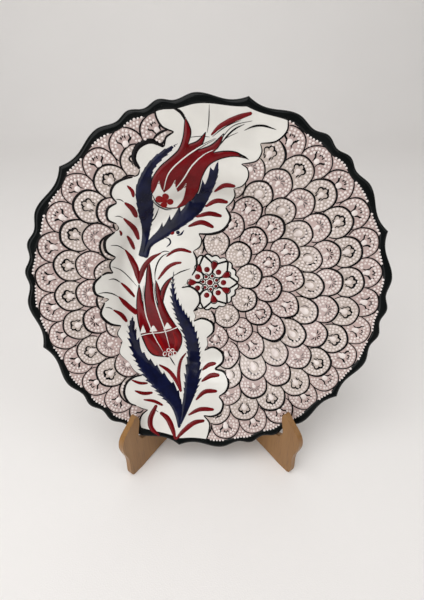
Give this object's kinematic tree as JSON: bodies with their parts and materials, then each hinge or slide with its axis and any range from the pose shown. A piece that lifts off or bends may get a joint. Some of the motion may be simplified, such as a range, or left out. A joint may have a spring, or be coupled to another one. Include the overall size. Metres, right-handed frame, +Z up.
{
  "type": "display plate on stand",
  "caption": "Round scalloped ceramic plate with painted raised-dot decoration, leaning on a folding wooden stand with brass butt hinges.",
  "frame": {"origin": "on the floor, under the middle of the object's bounding box", "axes": "+X right as seen from the painted side, +Y towards the back, +Z up; the painted side faces -Y and leans back"},
  "size_m": [0.2994, 0.117, 0.3119],
  "materials": {
    "glazed_ceramic": "clear glossy glaze over a white body",
    "rim_black": "glossy black glaze",
    "raised_dots": "raised slip dots under glaze, slightly pink",
    "outline_black": "painted black line under glaze",
    "enamel_red": "thick raised red under glaze",
    "enamel_blue": "dark cobalt blue under glaze",
    "stand_wood": "satin varnish, golden brown",
    "hinge_brass": "plated, lightly worn"
  },
  "bodies": {
    "hinge_pins": {"lower_hinge_pin": "hinge_brass", "upper_hinge_pin": "hinge_brass"},
    "left_side": {"left_board": "stand_wood", "left_screws": "hinge_brass", "lower_hinge_left_leaf": "hinge_brass", "upper_hinge_left_leaf": "hinge_brass"},
    "right_side": {"right_board": "stand_wood", "right_screws": "hinge_brass", "lower_hinge_right_leaf": "hinge_brass", "upper_hinge_right_leaf": "hinge_brass"},
    "dish": {"plate": "glazed_ceramic"}
  },
  "joints": [
    {"name": "plate_lift", "type": "slide", "parent": "hinge_pins", "child": "dish", "axis": [0, 0, 1], "range_m": [0, 0.2]},
    {"name": "left_fold", "type": "hinge", "parent": "hinge_pins", "child": "left_side", "pos_m": [0, 0.044, 0], "axis": [0, 0, 1], "range_deg": [0, 36]},
    {"name": "right_fold", "type": "hinge", "parent": "hinge_pins", "child": "right_side", "pos_m": [0, 0.044, 0], "axis": [0, 0, -1], "range_deg": [0, 36]}
  ],
  "couplings": [
    {"joint": "left_fold", "follows": "plate_lift", "rad_per_m": 3.1415},
    {"joint": "right_fold", "follows": "plate_lift", "rad_per_m": 3.1415}
  ]
}
